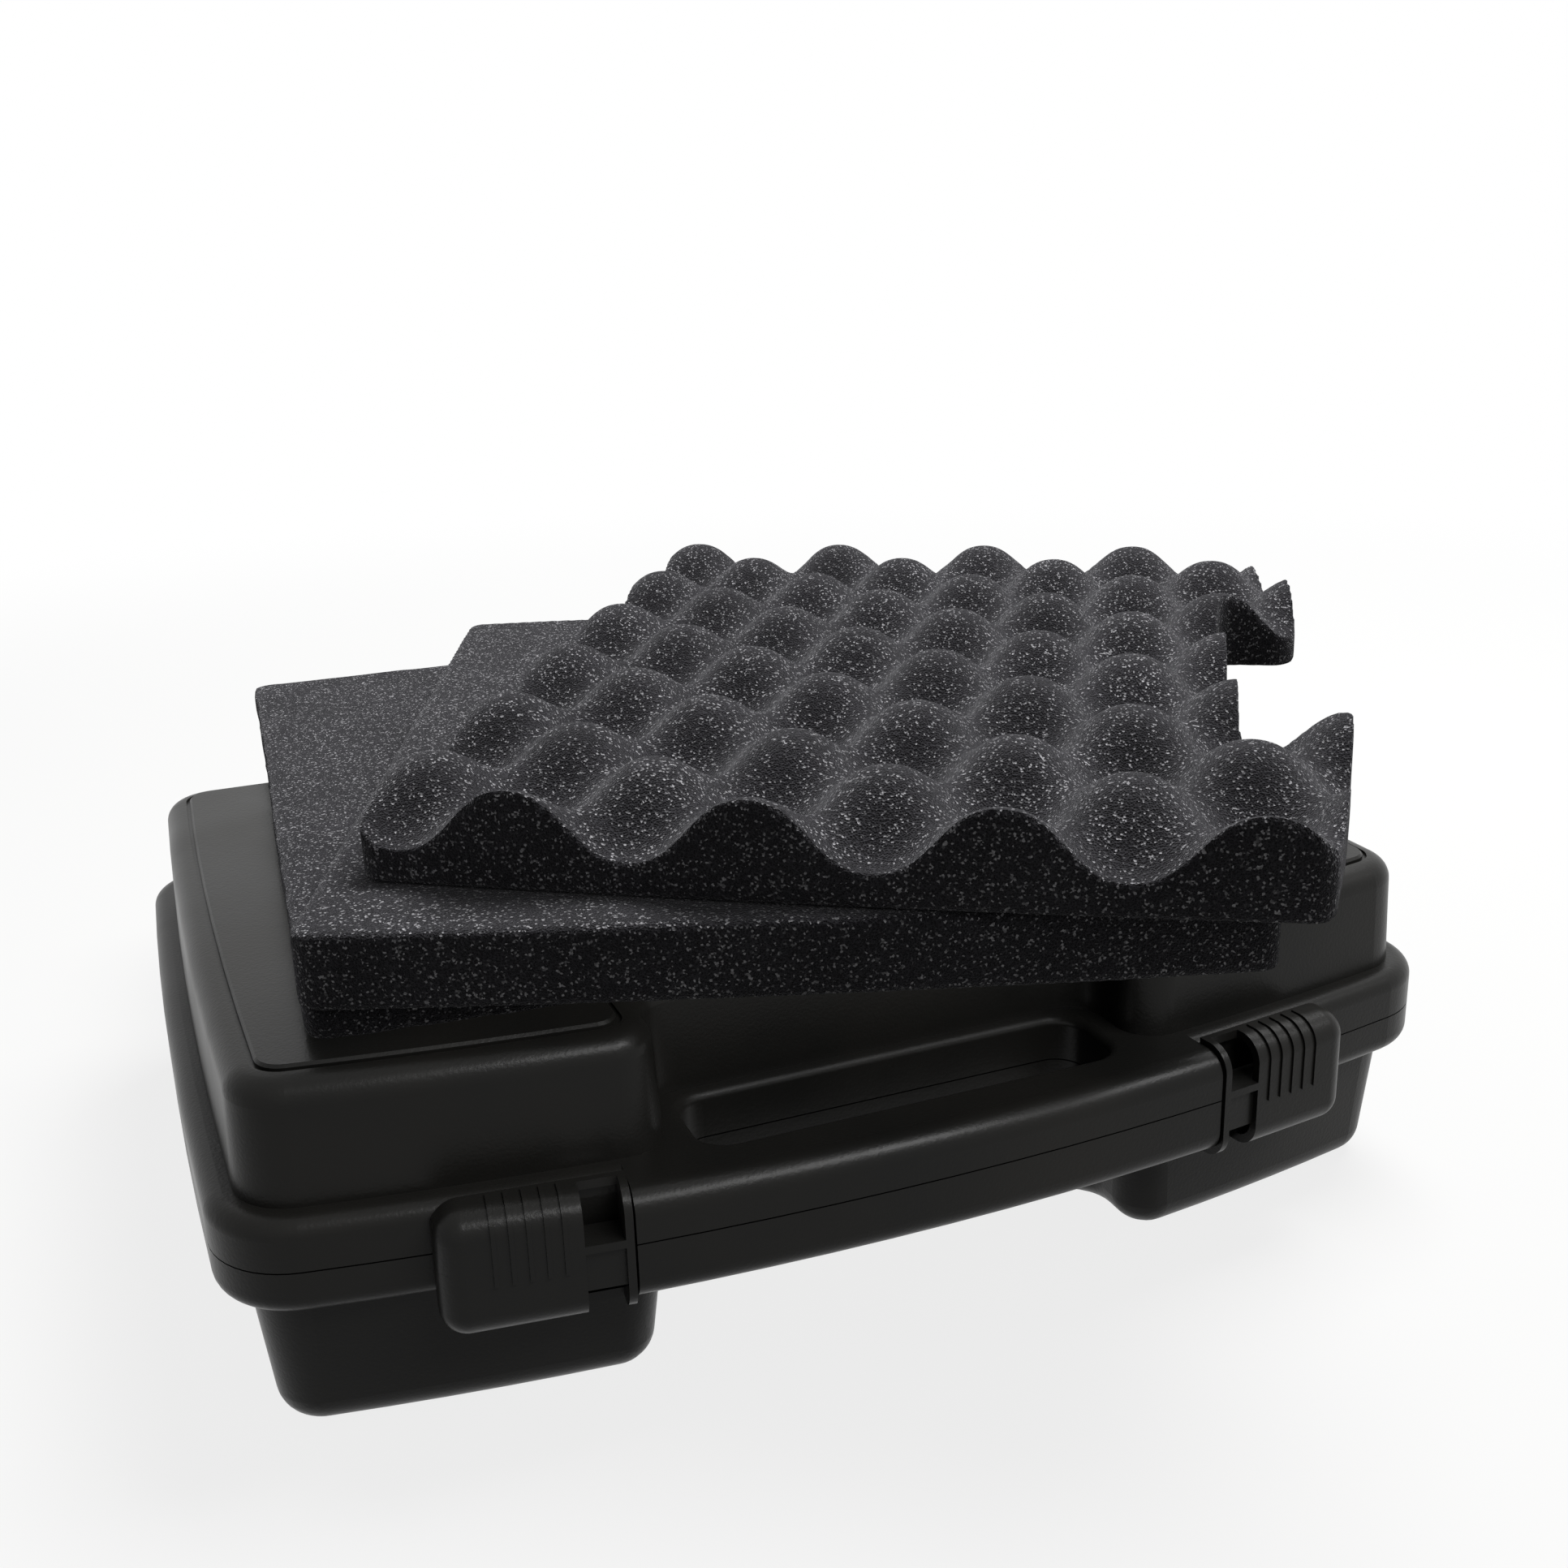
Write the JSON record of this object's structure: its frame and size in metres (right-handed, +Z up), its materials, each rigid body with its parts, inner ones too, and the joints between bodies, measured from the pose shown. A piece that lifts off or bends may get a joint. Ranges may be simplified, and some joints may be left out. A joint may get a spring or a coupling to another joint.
{
  "type": "plastic carrying case",
  "caption": "Black moulded carrying case with a pinned hinged lid, built-in grip, sliding latches and loose foam inserts stacked on top.",
  "frame": {"origin": "on the floor face of the base shell, under the middle of the rim outline", "axes": "+X along the handle to the user's right, +Y from the handle to the hinge, +Z up out of the base"},
  "size_m": [0.3564, 0.3592, 0.1292],
  "materials": {
    "polypropylene_shell": "fine moulded grain",
    "charcoal_foam": "open-cell foam",
    "hinge_pin_steel": "drawn wire"
  },
  "bodies": {
    "base": {"base_shell": "polypropylene_shell", "left_hinge_pin": "hinge_pin_steel", "right_hinge_pin": "hinge_pin_steel"},
    "lid": {"lid_shell": "polypropylene_shell"},
    "left_latch": {"left_latch": "polypropylene_shell"},
    "right_latch": {"right_latch": "polypropylene_shell"},
    "lower_pad": {"lower_pad": "charcoal_foam"},
    "middle_pad": {"middle_pad": "charcoal_foam"},
    "convoluted_pad": {"convoluted_pad": "charcoal_foam"}
  },
  "joints": [
    {"name": "lid_hinge", "type": "hinge", "parent": "base", "child": "lid", "pos_m": [0, 0.119, 0.0445], "axis": [-1, 0, 0], "range_deg": [0, 105]},
    {"name": "left_latch_slide", "type": "slide", "parent": "base", "child": "left_latch", "axis": [-0.9925, 0.1225, 0], "range_m": [0, 0.009]},
    {"name": "right_latch_slide", "type": "slide", "parent": "base", "child": "right_latch", "axis": [0.9925, 0.1225, 0], "range_m": [0, 0.009]},
    {"name": "lower_pad_lift", "type": "slide", "parent": "lid", "child": "lower_pad", "axis": [0, 0, 1], "range_m": [0, 0.12]},
    {"name": "middle_pad_lift", "type": "slide", "parent": "lower_pad", "child": "middle_pad", "axis": [0, 0, 1], "range_m": [0, 0.12]},
    {"name": "convoluted_pad_lift", "type": "slide", "parent": "middle_pad", "child": "convoluted_pad", "axis": [0, 0, 1], "range_m": [0, 0.12]}
  ]
}
